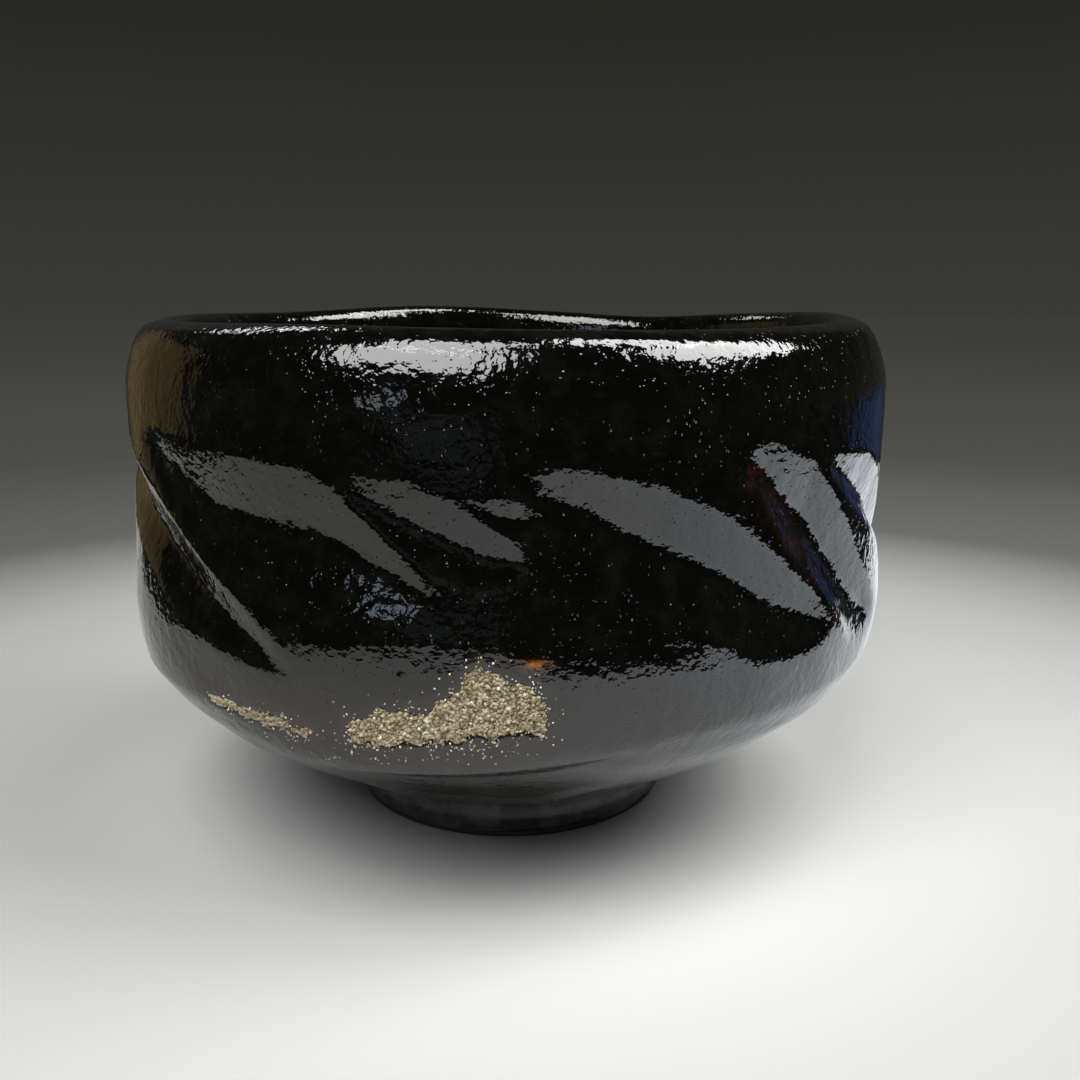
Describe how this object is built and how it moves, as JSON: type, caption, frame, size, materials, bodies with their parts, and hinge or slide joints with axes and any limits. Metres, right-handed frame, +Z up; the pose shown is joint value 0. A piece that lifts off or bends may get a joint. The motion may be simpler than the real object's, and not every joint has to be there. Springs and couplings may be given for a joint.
{
  "type": "matcha bowl",
  "caption": "Hand-formed black-glazed tea bowl with an upright wall, a rounded undulating lip, a carved band of slanting flutes, a trimmed underside, a low ring foot and a bare gritty window.",
  "frame": {"origin": "centre of the foot's standing rim, on the plane the bowl rests on", "axes": "+Z up along the bowl's axis; -Y towards the front, the side with the large bare grit window; +X to the viewer's right"},
  "size_m": [0.1217, 0.122, 0.0811],
  "materials": {
    "clay": "fired coarse clay body, unglazed, under the glaze",
    "foot_clay": "smoked fired clay, matte, worn standing rim",
    "black_glaze": "glossy black lead-iron glaze with fine orange-peel and pinholes, brown where thin",
    "inner_black_glaze": "glossy black glaze, slightly softer gloss than outside",
    "foot_glaze": "thin charcoal glaze, satin",
    "recess_glaze": "thin charcoal glaze, satin",
    "grit": "coarse gold-buff quartz and feldspar grit, matte"
  },
  "bodies": {
    "root": {"clay_body": "clay", "foot_ring": "foot_clay", "outer_glaze": "black_glaze", "inner_glaze": "inner_black_glaze", "foot_glaze": "foot_glaze", "recess_glaze": "recess_glaze", "grit_patch_large": "grit", "grit_patch_small": "grit"}
  },
  "joints": []
}
